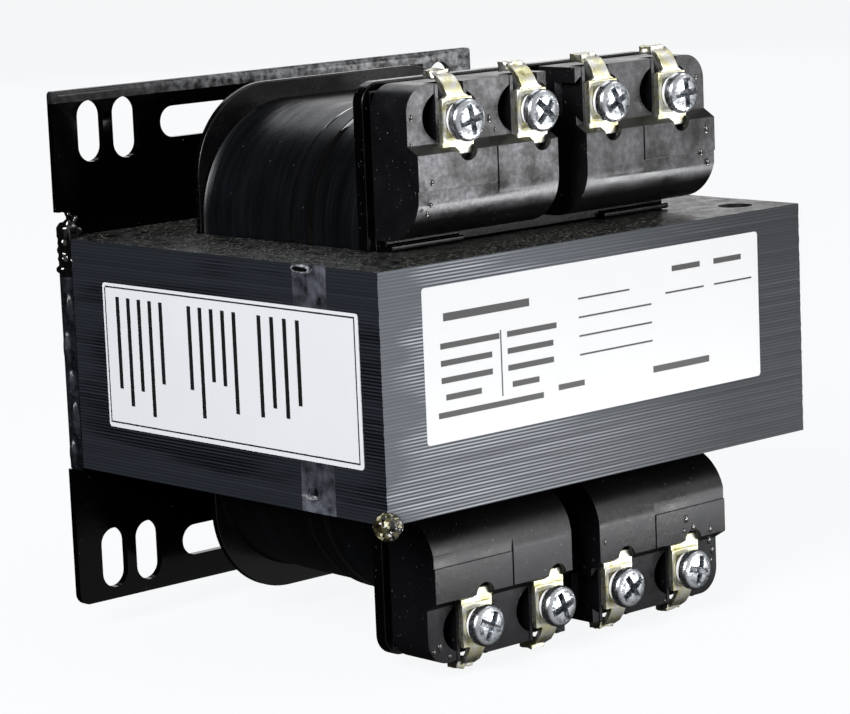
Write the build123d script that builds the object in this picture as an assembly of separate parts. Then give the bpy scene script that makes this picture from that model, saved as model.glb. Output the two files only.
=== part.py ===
from build123d import *
import os

os.makedirs("parts", exist_ok=True)

# Open core-and-coil transformer with a panel mounting plate, all sizes in millimetres.
# +Z is up, -Y is the front with the big label, +X is right as seen from the front.
# The origin is the centre of the mounting plate's rear face, which lies on the panel.

# Laminated core, EI pattern: every width follows from the centre leg.
leg_w = 38.1
stack_h = 46.6
bolt_hole_r = 3.5
bolt_hole_inset = 9.0
window_w = leg_w / 2
window_l = leg_w * 1.5
yoke_w = leg_w / 2
core_w = leg_w + 2 * window_w + 2 * yoke_w
core_l = window_l + 2 * yoke_w
stack_top = stack_h / 2

# Height of the terminal blocks above the laminations. The flanges, the winding and the
# mounting plate keep their distances from the top of the blocks.
block_rise = 31.5
block_top_z = stack_top + block_rise

# Mounting plate, a flat sheet as wide as the core and welded to its back.
plate_t = 1.6
plate_over = 0.15
plate_drop = 2.3
plate_w = core_w + 2 * plate_over
plate_h = 2 * (block_top_z - plate_drop)
plate_top_r = 0.8
plate_foot_r = 2.4
notch_d = 3.0
notch_r = 1.4
notch_above = 5.0
notch_below = 0.7
notch_top_z = stack_top + notch_above
notch_low_z = -stack_top - notch_below
slot_w = 6.4
slot_l = 12.4
slot_side_inset = 9.2
slot_pair_pitch = 8.8
slot_end_inset = 8.6
slot_outer_x = plate_w / 2 - slot_side_inset
slot_inner_x = slot_outer_x - slot_pair_pitch
slot_z = plate_h / 2 - slot_end_inset
cross_slot_l = 20.0
cross_slot_inset = 19.0
cross_slot_x = slot_inner_x - cross_slot_inset

# Welds that hold the laminations together and to the plate.
seam_groove_w = 9.6
seam_groove_d = 0.9
weld_skin_t = 0.35
weld_reach = 5.0
weld_rise = 1.2
weld_lump_r = 2.0

# Bobbin moulding: a tube on the centre leg, a thin rear flange and a thick front one.
tube_gap = 0.2
tube_wall = 1.4
end_gap = 0.2
side_gap = 0.5
top_gap = 0.2
bobbin_w = leg_w + 2 * window_w - 2 * side_gap
flange_over = 0.3
front_flange_t = 2.8
front_flange_h = 2 * (block_top_z + flange_over)
front_flange_r = 4.2
neck_t = 2.8
neck_inset = 1.9
neck_h = front_flange_h - 2 * neck_inset
rear_flange_t = 1.5
rear_inset = 3.0
rear_flange_h = front_flange_h - 2 * rear_inset
rear_flange_r = 18.6
lip_t = 1.1
lip_reach = 1.8

# Winding with its tape wrap, a little smaller than the rear flange all round.
coil_side_gap = 0.8
coil_drop = 3.7
coil_w = bobbin_w - 2 * coil_side_gap
coil_h = rear_flange_h - 2 * coil_drop
coil_r = 23.0
coil_bore_gap = 0.1
band_t = 0.4
band_l = 22.5

# Terminal blocks: four moulded housings, mirrored about both centre planes.
block_over = 2.5
block_w = bobbin_w + 2 * block_over
flange_side_inset = 0.5
front_flange_w = block_w - 2 * flange_side_inset
block_gap = 7.8
block_d = 9.9
block_corner_r = 5.0
ledge_drop = 11.0
ledge_slope = 1.6
ledge_z = block_top_z - ledge_drop
apron_top_z = ledge_z - ledge_slope
apron_step = 2.7
apron_lift = 1.2
apron_low_z = stack_top + top_gap + lip_t + apron_lift
apron_r = 9.7
apron_curve_z = apron_low_z + apron_r
mould_line_w = 0.35
mould_line_d = 0.3
mould_line_shift = 0.5
mould_line_low = 3.0
apron_recess = 0.3

# Terminals, one bent strip each, spread evenly along the blocks.
block_end_gap = 1.5
terminal_pitch = (block_w - 2 * block_end_gap) / 4
terminal_drop = 6.8
terminal_z = block_top_z - terminal_drop
tab_w = 8.0
tab_t = 1.0
tab_low = 6.6
tab_high = 3.6
tab_fit = 0.2
tab_shift = 0.6
clamp_w = 7.6
clamp_h = 8.4
clamp_t = 0.9
strip_w = 6.0
strip_t = 0.8
strip_run = 5.4
strip_rise = 5.2
strip_seat = 1.0
crimp_l = 4.4
crimp_w = 5.0
crimp_h = 2.5

# Oval pocket round each terminal, with the boss that carries its tab.
pocket_wall = 4.9
pocket_a = (terminal_pitch - pocket_wall) / 2
pocket_b = 5.3
pocket_drop = 6.2
pocket_z = block_top_z - pocket_drop
pocket_d = 5.6
boss_w = 8.0
boss_proud = 0.2
relief_r = 2.3
relief_x = 1.7
relief_rise = 0.3

# Pan head screws with a cross recess.
head_r = 4.05
head_rim_h = 1.0
head_dome_h = 1.1
head_crown_r = 2.9
head_lift = 1.5
shank_r = 1.95
shank_sides = 12
cross_l = 4.7
cross_w = 0.95
cross_d = 1.25
cross_angles = (12, 48, 27, 5, 62, 18, 33, 74)

# Labels, placed by their margins, and the lump of set varnish on a lower corner.
label_t = 0.15
front_label_left = 10.45
front_label_right = 12.85
front_label_top = 4.2
front_label_low = 13.2
side_label_back = 13.3
side_label_front = 5.75
side_label_top = 7.95
side_label_low = 9.75
drip_r = 3.3
drip_h = 6.4

# Depths that follow from the sizes above.
core_back = -plate_t
core_front = core_back - core_l
window_back = core_back - yoke_w
window_front = window_back - window_l
seam_y = window_front
bobbin_back = window_back - end_gap
bobbin_front = window_front + end_gap
rear_flange_front = bobbin_back - rear_flange_t
front_flange_front = bobbin_front + neck_t
front_flange_back = front_flange_front + front_flange_t
block_front = bobbin_front - block_d
apron_front = block_front - apron_step
boss_front = block_front - boss_proud
tab_front = boss_front - tab_t
clamp_front = tab_front - clamp_t
terminal_xs = [terminal_pitch * k for k in (-1.5, -0.5, 0.5, 1.5)]


def push_back_to_front(outline, y_back, depth):
    """An outline drawn in X and Z, made solid from y_back towards the front."""
    return extrude(Plane.XZ.offset(-y_back) * outline, amount=depth)


def push_left_to_right(outline, x_left, width):
    """An outline drawn in Y and Z, made solid from x_left towards the right."""
    return extrude(Plane.YZ.offset(x_left) * outline, amount=width)


def push_up(outline, z_low, height):
    """An outline drawn in X and Y, made solid from z_low upwards."""
    return extrude(Plane.XY.offset(z_low) * outline, amount=height)


def save(shape, node):
    """Writes one named piece."""
    export_step(shape, f"parts/{node}.step")


# The E laminations are open to the front, and the I laminations close them.
def lamination_field(y_back, y_front):
    """Full-width block of laminations between two depths."""
    depth = y_back - y_front
    return Pos(0, (y_back + y_front) / 2, 0) * Box(core_w, depth, stack_h)


def bolt_holes():
    """Four clamping holes through the corners of the stack."""
    x = core_w / 2 - bolt_hole_inset
    places = [(sx * x, y) for sx in (-1, 1)
              for y in (core_back - bolt_hole_inset, core_front + bolt_hole_inset)]
    return [Pos(px, py, 0) * Cylinder(bolt_hole_r, stack_h + 2) for px, py in places]


def seam_grooves():
    """Shallow grooves across the joint of E and I on both sides."""
    x = core_w / 2 - seam_groove_d / 2
    return [Pos(side * x, seam_y, 0) * Box(seam_groove_d, seam_groove_w, stack_h)
            for side in (-1, 1)]


def core_e_stack():
    """E laminations: back yoke, two outer legs and the centre leg."""
    body = lamination_field(core_back, seam_y)
    for side in (-1, 1):
        x = side * (leg_w + window_w) / 2
        body -= Pos(x, (window_back + window_front) / 2, 0) * Box(window_w, window_l, stack_h)
    for tool in bolt_holes() + seam_grooves():
        body -= tool
    return body


def core_i_stack():
    """I laminations, the front yoke."""
    body = lamination_field(seam_y, core_front)
    for tool in bolt_holes() + seam_grooves():
        body -= tool
    return body


def seam_weld(side):
    """Ground weld that fills the groove over the joint."""
    return seam_grooves()[0 if side < 0 else 1]


# The plate is narrower beside the core, where its edge is welded to the stack.
def mounting_plate():
    """Slotted plate with welding notches and rounded lower corners."""
    w = plate_w / 2
    h = plate_h / 2
    outline = make_face(Polyline(
        (-w, h), (w, h), (w, notch_top_z), (w - notch_d, notch_top_z),
        (w - notch_d, notch_low_z), (w, notch_low_z), (w, -h), (-w, -h),
        (-w, notch_low_z), (-w + notch_d, notch_low_z),
        (-w + notch_d, notch_top_z), (-w, notch_top_z), (-w, h)))
    top = [v for v in outline.vertices() if v.Y > h - 0.01]
    outline = fillet(top, plate_top_r)
    foot = [v for v in outline.vertices() if v.Y < -h + 0.01]
    outline = fillet(foot, plate_foot_r)
    inner = [v for v in outline.vertices()
             if abs(v.X) < w - notch_d + 0.01 and abs(v.Y) < notch_top_z + 0.01]
    outline = fillet(inner, notch_r)
    for up in (-1, 1):
        for side in (-1, 1):
            for x in (slot_outer_x, slot_inner_x):
                outline -= Pos(side * x, up * slot_z) * Rot(0, 0, 90) * SlotOverall(slot_l, slot_w)
            outline -= Pos(side * cross_slot_x, up * slot_z) * SlotOverall(cross_slot_l, slot_w)
    return push_back_to_front(outline, 0, plate_t)


def plate_weld(side):
    """Weld between the core's rear edge and the plate's edge, lumpy at its upper end."""
    x_core = core_w / 2
    x_edge = plate_w / 2 - notch_d
    skin = x_core + weld_skin_t
    outline = make_face(Polyline(
        (side * x_core, core_back - weld_reach),
        (side * skin, core_back - weld_reach * 0.6),
        (side * skin, core_back),
        (side * (x_core - 0.4), 0),
        (side * x_edge, 0),
        (side * x_edge, core_back),
        (side * x_core, core_back),
        (side * x_core, core_back - weld_reach)))
    bead = push_up(outline, notch_low_z, stack_top + weld_rise - notch_low_z)
    lump = Box(2 * weld_lump_r, 2 * weld_lump_r, 2 * weld_lump_r)
    lump = Pos(side * (x_core - 0.8), core_back - 1.4, stack_top + weld_rise) \
        * chamfer(lump.edges(), weld_lump_r / 2)
    lump -= lamination_field(core_back, core_front)
    return bead + lump - mounting_plate()


# One moulding: both flanges, the tube, and the plates that close the window ends.
def bobbin():
    """Bobbin with a thin rounded rear flange and a thick square front flange."""
    inner_w = leg_w + 2 * tube_gap
    inner_h = stack_h + 2 * tube_gap
    outer_w = inner_w + 2 * tube_wall
    outer_h = inner_h + 2 * tube_wall
    rear = push_back_to_front(
        RectangleRounded(bobbin_w, rear_flange_h, rear_flange_r), bobbin_back, rear_flange_t)
    tube = push_back_to_front(
        Rectangle(outer_w, outer_h), bobbin_back, bobbin_back - bobbin_front)
    neck = push_back_to_front(Rectangle(bobbin_w, neck_h), bobbin_front + neck_t, neck_t)
    front = push_back_to_front(
        RectangleRounded(front_flange_w, front_flange_h, front_flange_r),
        front_flange_back, front_flange_t)
    for side in (-1, 1):
        front -= Pos(side * (bobbin_w / 2 + 5), (front_flange_front + front_flange_back) / 2, 0) \
            * Box(10, front_flange_t + 1, stack_h + 2 * top_gap)
    body = rear + tube + neck + front
    for up in (-1, 1):
        for side in (-1, 1):
            lip_w = bobbin_w / 2 - leg_w / 2
            x = side * (leg_w / 2 + lip_w / 2)
            z = up * (stack_top + top_gap + lip_t / 2)
            body += Pos(x, bobbin_front - lip_reach / 2, z) * Box(lip_w, lip_reach, lip_t)
    body -= push_back_to_front(
        Rectangle(inner_w, inner_h), bobbin_back + 1, bobbin_back - bobbin_front + 2)
    return body


def coil_ring(grow, y_back, length):
    """Ring of winding round the tube, grown outwards by a tape thickness."""
    bore_w = leg_w + 2 * (tube_gap + tube_wall + coil_bore_gap)
    bore_h = stack_h + 2 * (tube_gap + tube_wall + coil_bore_gap)
    outer = RectangleRounded(coil_w + 2 * grow, coil_h + 2 * grow, coil_r + grow)
    return push_back_to_front(outer - Rectangle(bore_w, bore_h), y_back, length)


def coil_winding():
    """Taped winding from the rear flange to the place of the end wrap."""
    length = rear_flange_front - front_flange_back - band_l
    return coil_ring(0, rear_flange_front, length)


def coil_end_wrap():
    """End of the winding beside the front flange, under two more layers of tape."""
    return coil_ring(band_t, front_flange_back + band_l, band_l)


# Each block half is one side outline with a curved apron, then two scooped pockets.
def block_half(side):
    """Upper terminal block half on one side of the middle gap."""
    x_in = block_gap / 2
    x_out = block_w / 2
    foot = (bobbin_front, apron_low_z)
    curve_end = (apron_front + apron_r, apron_low_z)
    outline = make_face(
        Polyline(foot, (bobbin_front, block_top_z), (block_front, block_top_z),
                 (block_front, ledge_z), (apron_front, apron_top_z), (apron_front, apron_curve_z))
        + RadiusArc((apron_front, apron_curve_z), curve_end, -apron_r)
        + Line(curve_end, foot))
    body = push_left_to_right(outline, x_in, x_out - x_in)
    corner = body.edges().filter_by(Axis.Y).filter_by(
        lambda e: e.center().X > x_out - 0.01 and e.center().Z > block_top_z - 0.01)
    body = fillet(corner, block_corner_r)
    line_low = apron_curve_z - mould_line_low
    line = Pos(terminal_pitch + mould_line_shift, apron_front, (apron_top_z + line_low) / 2)
    body -= line * Box(mould_line_w, 2 * mould_line_d, apron_top_z - line_low)
    recess_w = x_out - terminal_pitch - mould_line_shift
    recess = Pos(x_out - recess_w / 2, apron_front, (apron_curve_z + apron_low_z) / 2)
    body -= recess * Box(recess_w, 2 * apron_recess, apron_curve_z - apron_low_z)
    if side < 0:
        body = mirror(body, about=Plane.YZ)
    for x in [v for v in terminal_xs if v * side > 0]:
        body = cut_station(body, x)
    return body


def cut_station(body, x):
    """Scoops one terminal's pocket, leaving the boss that carries its tab."""
    scoop = push_back_to_front(
        Pos(x, pocket_z) * Ellipse(pocket_a, pocket_b), block_front + pocket_d, pocket_d + 1)
    boss = Pos(x, block_front + (pocket_d - boss_proud) / 2, pocket_z) * Box(
        boss_w, pocket_d + boss_proud, 2 * (block_top_z - pocket_z))
    body = body - scoop + boss - strip_channel(x)
    seat_low = terminal_z - tab_low - tab_fit
    seat = Box(tab_w + 2 * tab_fit, tab_t + tab_fit, 10, align=(Align.CENTER, Align.MAX, Align.MIN))
    body -= Pos(x + tab_shift, boss_front, seat_low) * seat
    relief = Pos(x + relief_x, apron_top_z + relief_rise) * Circle(relief_r)
    return body - push_back_to_front(relief, boss_front, 5)


def strip_channel(x):
    """Sloped channel in the block's top edge for a terminal's strip."""
    width = strip_w + 2 * tab_fit
    z_low = terminal_z + tab_high - strip_seat
    run = block_top_z - z_low
    outline = make_face(Polyline(
        (boss_front - 2, z_low), (boss_front, z_low), (boss_front + run + 2, z_low + run + 2),
        (boss_front - 2, z_low + run + 2), (boss_front - 2, z_low)))
    return push_left_to_right(outline, x - width / 2, width)


def terminal(x):
    """Tab behind the screw, strip bent back over the block, and its crimped end."""
    z_top = terminal_z + tab_high
    tab = Pos(x + tab_shift, (boss_front + tab_front) / 2, terminal_z + (tab_high - tab_low) / 2) \
        * Box(tab_w, tab_t, tab_high + tab_low)
    clamp = Pos(x - 0.2, (tab_front + clamp_front) / 2, terminal_z) * Box(clamp_w, clamp_t, clamp_h)
    y_bend = tab_front + strip_run
    z_bend = z_top + strip_rise
    flange_top = front_flange_h / 2
    outline = make_face(Polyline(
        (tab_front, z_top - 1.6), (tab_front, z_top),
        (y_bend, z_bend),
        (front_flange_front, flange_top + 0.6 + strip_t),
        (front_flange_front, flange_top + 0.6),
        (y_bend + 0.3, z_bend - strip_t * 1.3),
        (tab_front + tab_t, z_top - 0.7),
        (tab_front + tab_t, z_top - 1.6),
        (tab_front, z_top - 1.6)))
    strip = push_left_to_right(outline, x - strip_w / 2, strip_w)
    crimp = Pos(x - 0.4, front_flange_front + crimp_l / 2 - 0.6, flange_top + crimp_h / 2) \
        * Box(crimp_w, crimp_l, crimp_h)
    crimp = chamfer(crimp.edges().filter_by(Axis.Y), crimp_h * 0.3)
    hole = push_back_to_front(
        Pos(x, terminal_z) * RegularPolygon(shank_r, shank_sides), boss_front, tab_t + clamp_t)
    return tab + clamp + strip + crimp - hole


def screw(x, angle):
    """Pan head screw, its head a little clear of the clamp and its shank through the tab."""
    reach = clamp_t + tab_t
    rim_top = head_lift + head_rim_h
    crown = rim_top + head_dome_h
    outline = make_face(Polyline(
        (0, head_lift), (head_r, head_lift), (head_r, rim_top), (head_crown_r, crown),
        (0, crown), (0, head_lift)))
    shank = extrude(RegularPolygon(shank_r, shank_sides), reach + head_lift)
    body = revolve(Plane.XZ * outline, Axis.Z) + Pos(0, 0, -reach) * shank
    for turn in (angle, angle + 90):
        body -= Pos(0, 0, crown) * Rot(0, 0, turn) * Box(cross_l, cross_w, 2 * cross_d)
    return Pos(x, clamp_front, terminal_z) * Rot(90, 0, 0) * body


def flip(shape):
    """The same piece mirrored below the centre plane."""
    return mirror(shape, about=Plane.XY)


def front_label():
    """Rating label on the front yoke."""
    width = core_w - front_label_left - front_label_right
    height = stack_h - front_label_top - front_label_low
    x = (front_label_left - front_label_right) / 2
    z = (front_label_low - front_label_top) / 2
    return Pos(x, core_front - label_t / 2, z) * Box(width, label_t, height)


def side_label():
    """Long label on the left side of the stack."""
    length = core_l - side_label_back - side_label_front
    height = stack_h - side_label_top - side_label_low
    y = core_back - side_label_back - length / 2
    z = (side_label_low - side_label_top) / 2
    return Pos(-core_w / 2 - label_t / 2, y, z) * Box(label_t, length, height)


def varnish_drip():
    """Set lump of varnish on the lower left front corner, widest at the edge of the stack."""
    lump = Box(2 * drip_r, 2 * drip_r, drip_h)
    lump = chamfer(lump.edges().filter_by(Axis.Z), drip_r * 0.6)
    lump = chamfer(lump.faces().filter_by(Axis.Z).edges(), drip_r * 0.4)
    return Pos(-core_w / 2, core_front, -stack_top) * lump - lamination_field(core_back, core_front)


save(core_e_stack(), "core_e_stack")
save(core_i_stack(), "core_i_stack")
save(mounting_plate(), "mounting_plate")
for name, side in (("left", -1), ("right", 1)):
    save(seam_weld(side), f"seam_weld_{name}")
    save(plate_weld(side), f"plate_weld_{name}")
save(bobbin(), "bobbin")
save(coil_winding(), "coil_winding")
save(coil_end_wrap(), "coil_end_wrap")

right_half = block_half(1)
left_half = block_half(-1)
save(right_half, "terminal_block_upper_right")
save(left_half, "terminal_block_upper_left")
save(flip(right_half), "terminal_block_lower_right")
save(flip(left_half), "terminal_block_lower_left")
for k, x in enumerate(terminal_xs):
    upper = terminal(x)
    save(upper, f"terminal_upper_{k + 1}")
    save(flip(upper), f"terminal_lower_{k + 1}")
    save(screw(x, cross_angles[k]), f"screw_upper_{k + 1}")
    save(flip(screw(x, cross_angles[k + 4])), f"screw_lower_{k + 1}")
save(front_label(), "front_label")
save(side_label(), "side_label")
save(varnish_drip(), "varnish_drip")
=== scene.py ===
"""Looks of an open core-and-coil control transformer on a slotted panel plate.

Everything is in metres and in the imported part's own frame: +Z is up, -Y is the front with
the big label, and the origin is the centre of the mounting plate's rear face.
"""

from __future__ import annotations

import logging
import math
import random
from collections.abc import Callable, Iterable, Iterator
from contextlib import contextmanager
from dataclasses import dataclass, field
from enum import Enum
from functools import partial

import bmesh
import bpy
from mathutils import Euler, Matrix, Vector

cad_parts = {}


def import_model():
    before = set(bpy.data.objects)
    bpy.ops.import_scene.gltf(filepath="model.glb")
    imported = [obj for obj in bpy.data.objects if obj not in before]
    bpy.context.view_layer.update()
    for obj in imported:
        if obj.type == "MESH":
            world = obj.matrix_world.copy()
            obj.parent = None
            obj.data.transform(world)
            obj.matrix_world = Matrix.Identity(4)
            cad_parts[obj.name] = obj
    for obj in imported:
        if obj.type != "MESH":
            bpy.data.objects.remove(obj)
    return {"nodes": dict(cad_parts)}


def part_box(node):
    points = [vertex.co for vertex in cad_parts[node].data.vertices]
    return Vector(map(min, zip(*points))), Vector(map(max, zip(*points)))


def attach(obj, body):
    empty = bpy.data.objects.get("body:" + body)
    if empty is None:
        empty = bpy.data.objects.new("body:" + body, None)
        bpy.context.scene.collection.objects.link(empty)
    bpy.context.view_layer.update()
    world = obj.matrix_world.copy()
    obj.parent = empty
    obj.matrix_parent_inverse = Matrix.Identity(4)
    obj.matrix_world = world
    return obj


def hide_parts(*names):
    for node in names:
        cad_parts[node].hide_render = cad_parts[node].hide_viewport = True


Piece = bpy.types.Object
Pair = tuple[float, float]
Triple = tuple[float, float, float]
Test = Callable[[Vector, Vector], bool]

LOG = logging.getLogger("transformer")
MM = 0.001
FRONT = Vector((0.0, -1.0, 0.0))
TERMINAL_XS = (-28.95 * MM, -9.65 * MM, 9.65 * MM, 28.95 * MM)
TERMINAL_Z = 48.0 * MM


class Slot(Enum):
    """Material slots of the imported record."""

    STEEL = "lamination_steel"
    PAINT = "plate_paint"
    WELD = "weld_steel"
    NYLON = "moulded_nylon"
    TAPE = "coil_tape"
    CHROMATE = "chromate_tab"
    ZINC = "zinc_screw"
    LABEL = "label_stock"
    VARNISH = "set_varnish"


class Row(Enum):
    """Upper or lower row of terminals, by the sign of its height."""

    UPPER = 1
    LOWER = -1


# Selection and shaping helpers.


def mm(*values: float) -> Vector:
    """A point or an offset given in millimetres."""
    return Vector(values) * MM


def make_active(piece: Piece) -> None:
    """Leaves only one piece selected and active.

    Args:
        piece: the object.
    """
    bpy.ops.object.select_all(action="DESELECT")
    piece.select_set(True)
    bpy.context.view_layer.objects.active = piece


@contextmanager
def editing(piece: Piece, mode: str = "VERT") -> Iterator[None]:
    """Edit mode on one piece with nothing selected, left again at the end.

    Args:
        piece: the object to edit.
        mode: what is selected, VERT, EDGE or FACE.
    """
    make_active(piece)
    bpy.ops.object.mode_set(mode="EDIT")
    bpy.ops.mesh.select_mode(type=mode)
    bpy.ops.mesh.select_all(action="DESELECT")
    yield
    bpy.ops.object.mode_set(mode="OBJECT")


def pick_vertices(piece: Piece, test: Callable[[Vector], bool]) -> None:
    """Selects the vertices whose place passes a test.

    Args:
        piece: the object in edit mode.
        test: says yes or no to a place in metres.
    """
    mesh = bmesh.from_edit_mesh(piece.data)
    for vertex in mesh.verts:
        vertex.select_set(test(vertex.co))
    mesh.select_flush(True)
    bmesh.update_edit_mesh(piece.data)


def pick_edges(piece: Piece, test: Test) -> None:
    """Selects the edges whose two ends pass a test.

    Args:
        piece: the object in edit mode.
        test: says yes or no to the places of both ends.
    """
    mesh = bmesh.from_edit_mesh(piece.data)
    for edge in mesh.edges:
        edge.select_set(test(*[vertex.co for vertex in edge.verts]))
    bmesh.update_edit_mesh(piece.data)


def pick_faces(piece: Piece, test: Test) -> None:
    """Selects the faces whose centre and normal pass a test.

    Args:
        piece: the object in edit mode.
        test: says yes or no to a face centre and a face normal.
    """
    bpy.ops.mesh.select_all(action="DESELECT")
    mesh = bmesh.from_edit_mesh(piece.data)
    for face in mesh.faces:
        if test(face.calc_center_median(), face.normal):
            face.select_set(True)
    bmesh.update_edit_mesh(piece.data)


def press(piece: Piece, spot: Vector, push: Vector, reach: float, falloff: str = "SMOOTH") -> None:
    """Pushes the vertex nearest to a place, and those around it less.

    Args:
        piece: the object in edit mode.
        spot: the place.
        push: way and length of the push.
        reach: how far around the vertex it is felt.
        falloff: how it fades with distance.
    """
    mesh = bmesh.from_edit_mesh(piece.data)
    bpy.ops.mesh.select_all(action="DESELECT")
    min(mesh.verts, key=lambda vertex: (vertex.co - spot).length_squared).select_set(True)
    bmesh.update_edit_mesh(piece.data)
    bpy.ops.transform.translate(value=push, use_proportional_edit=True,
                                proportional_edit_falloff=falloff, proportional_size=reach)


def cut_across(piece: Piece, axis: str, places: Iterable[float]) -> None:
    """Cuts edge rings right round a piece.

    Args:
        piece: the object in edit mode.
        axis: the axis across the cuts, X, Y or Z.
        places: where they lie along it.
    """
    normal = Vector([float(letter == axis) for letter in "XYZ"])
    for place in places:
        bpy.ops.mesh.select_all(action="SELECT")
        bpy.ops.mesh.bisect(plane_co=normal * place, plane_no=normal)
    bpy.ops.mesh.select_all(action="DESELECT")


def add_shape(name: str, primitive: Callable[..., set[str]], place: Vector,
              scale: Iterable[float] = (1, 1, 1), **settings: float) -> Piece:
    """Adds a primitive with its size and place in its mesh.

    Args:
        name: name of the new object.
        primitive: the operator that adds it.
        place: its centre.
        scale: its stretch along the three axes.
        settings: the operator's own settings.

    Returns:
        The new object.
    """
    bpy.ops.object.select_all(action="DESELECT")
    primitive(location=place, **settings)
    piece = bpy.context.object
    piece.name = name
    bpy.ops.transform.resize(value=scale)
    bpy.ops.object.transform_apply(location=True, rotation=True, scale=True)
    return piece


def box_piece(name: str, low: Vector, high: Vector) -> Piece:
    """A block between two corners, to be shaped further."""
    return add_shape(name, bpy.ops.mesh.primitive_cube_add, (low + high) / 2, high - low, size=1)


def blob(place: Vector, half: Iterable[float], radius: float = MM) -> Piece:
    """A round blob at a place, with half its size given in radiuses."""
    return add_shape("blob", bpy.ops.mesh.primitive_ico_sphere_add, place, half,
                     subdivisions=3, radius=radius)


def droplet(place: Vector, half: Iterable[float]) -> Piece:
    """A smooth bead of varnish.

    Args:
        place: its centre.
        half: half of its size in millimetres.

    Returns:
        The new object.
    """
    piece = blob(place, half)
    smooth(piece, 80)
    return piece


def from_node(nodes: dict[str, Piece], node: str, name: str) -> Piece:
    """A welded copy of a solid's mesh with its flat faces joined.

    Args:
        nodes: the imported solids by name.
        node: name of the solid.
        name: name of the new object.

    Returns:
        The new object.
    """
    piece = nodes[node].copy()
    piece.data = nodes[node].data.copy()
    piece.parent = None
    for key in list(piece.keys()):
        del piece[key]
    piece.name = name
    piece.data.materials.clear()
    bpy.context.scene.collection.objects.link(piece)
    with editing(piece):
        bpy.ops.mesh.select_all(action="SELECT")
        bpy.ops.mesh.remove_doubles(threshold=0.002 * MM)
        bpy.ops.mesh.dissolve_limited(angle_limit=math.radians(0.6))
    return piece


def join(pieces: list[Piece], name: str) -> Piece:
    """Makes one object of several.

    Args:
        pieces: the objects.
        name: name of the new one.

    Returns:
        The new object.
    """
    make_active(pieces[0])
    for piece in pieces:
        piece.select_set(True)
    bpy.ops.object.join()
    joined = bpy.context.object
    joined.name = name
    return joined


def apply_modifier(piece: Piece, kind: str, **settings: object) -> None:
    """Adds a modifier with its settings and applies it.

    Args:
        piece: the object.
        kind: the modifier's type.
        settings: its settings by name.
    """
    make_active(piece)
    modifier = piece.modifiers.new(kind.lower(), kind)
    for key, value in settings.items():
        setattr(modifier, key, value)
    bpy.ops.object.modifier_apply(modifier=modifier.name)


def soften(piece: Piece, radius: float) -> None:
    """Rounds the sharp edges of a piece.

    Args:
        piece: the object.
        radius: width of the rounding.
    """
    apply_modifier(piece, "BEVEL", width=radius, segments=2, limit_method="ANGLE",
                   angle_limit=math.radians(32), use_clamp_overlap=True)
    smooth(piece, 40)
    apply_modifier(piece, "WEIGHTED_NORMAL", weight=90, keep_sharp=True)


def smooth(piece: Piece, angle: float) -> None:
    """Shades a piece smooth up to an angle in degrees."""
    make_active(piece)
    bpy.ops.object.shade_smooth_by_angle(angle=math.radians(angle))


def settle(piece: Piece) -> None:
    """Puts a piece's place into its mesh and turns its faces outwards.

    Args:
        piece: the object.
    """
    make_active(piece)
    bpy.ops.object.transform_apply(location=True, rotation=True, scale=True)
    with editing(piece, "FACE"):
        bpy.ops.mesh.select_all(action="SELECT")
        bpy.ops.mesh.normals_make_consistent(inside=False)


# Materials.

Socket = bpy.types.NodeSocket
Inputs = dict[str | int, object]
Adder = Callable[[str, Inputs], Socket]


def linear(colour: str) -> tuple[float, float, float, float]:
    """An sRGB hex colour as linear values."""
    parts = [int(colour[k:k + 2], 16) / 255 for k in (1, 3, 5)]
    return (*[c / 12.92 if c <= 0.04045 else ((c + 0.055) / 1.055) ** 2.4 for c in parts], 1.0)


def fill(node: bpy.types.Node, inputs: Inputs) -> None:
    """Sets up a node.

    Args:
        node: the node.
        inputs: settings by attribute name, and values, sRGB colours or sockets to link by
            input name or number.
    """
    for key, value in inputs.items():
        if isinstance(value, Socket):
            node.id_data.links.new(value, node.inputs[key])
        elif isinstance(key, str) and hasattr(node, key):
            setattr(node, key, value)
        else:
            node.inputs[key].default_value = linear(value) if isinstance(value, str) else value


def add_node(tree: bpy.types.NodeTree, kind: str, inputs: Inputs) -> Socket:
    """Adds one node with its settings and links.

    Args:
        tree: the node tree.
        kind: the node's type without its prefix.
        inputs: its settings, values and links.

    Returns:
        The first output that its settings leave in use.
    """
    node = tree.nodes.new(f"ShaderNode{kind}")
    fill(node, inputs)
    return next(socket for socket in node.outputs if socket.enabled)


def shader_of(surface: bpy.types.Material) -> bpy.types.Node:
    """The shader node of a material."""
    return next(n for n in surface.node_tree.nodes if n.type == "BSDF_PRINCIPLED")


@dataclass(frozen=True)
class Finish:
    """A surface finish that makes its own material."""

    name: str

    def material(self) -> bpy.types.Material:
        """The finish as a material, made once, with its patterns measured in millimetres."""
        surface = bpy.data.materials.get(self.name)
        if surface is None:
            surface = bpy.data.materials.new(self.name)
            surface.use_nodes = True
            add = partial(add_node, surface.node_tree)
            metres = add("TexCoord", {}).node.outputs["Object"]
            place = add("VectorMath", {"operation": "SCALE", 0: metres, "Scale": 1 / MM})
            fill(shader_of(surface), self.dress(add, place))
        return surface

    def dress(self, add: Adder, place: Socket) -> Inputs:
        """Draws the finish's patterns.

        Args:
            add: adds a node to the material.
            place: the socket with Object coordinates in millimetres.

        Returns:
            What goes into the shader's sockets.
        """
        raise NotImplementedError


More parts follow.
